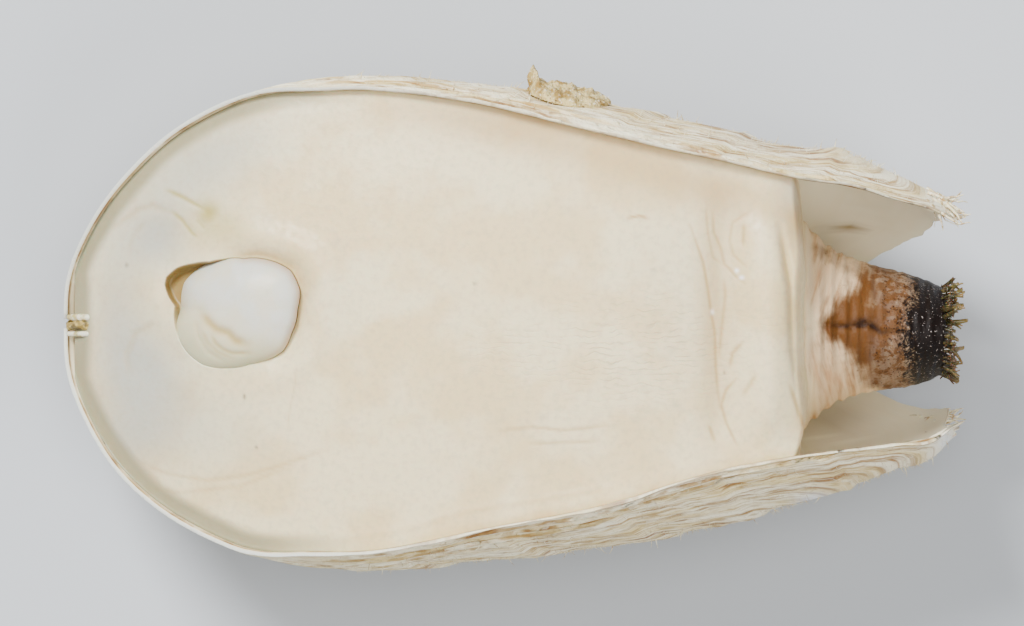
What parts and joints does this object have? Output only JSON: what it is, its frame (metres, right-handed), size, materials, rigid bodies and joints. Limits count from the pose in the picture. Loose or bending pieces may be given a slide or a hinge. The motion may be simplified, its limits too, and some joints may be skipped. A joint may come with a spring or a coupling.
{
  "type": "rock-boring clam shell",
  "caption": "Thin, widely gaping bivalve shell lying on its back, with mantle, foot and fringed siphon in place.",
  "frame": {"origin": "middle of the bounding box at the height that the shell lies on", "axes": "+X from the hinge end to the siphon end, +Y to the left valve, +Z from the shell's back to its open gape"},
  "size_m": [0.0306, 0.0167, 0.0117],
  "materials": {
    "shell": "satin",
    "ligament": "satin",
    "mantle": "satin",
    "foot": "satin",
    "siphon": "satin",
    "crust": "matte",
    "periostracum": "matte"
  },
  "bodies": {
    "root": {"left_valve": "shell", "right_valve": "shell", "ligament": "ligament", "mantle": "mantle", "foot": "foot", "siphon": "siphon", "burrow_crust": "crust", "left_fringe": "periostracum", "right_fringe": "periostracum"}
  },
  "joints": []
}
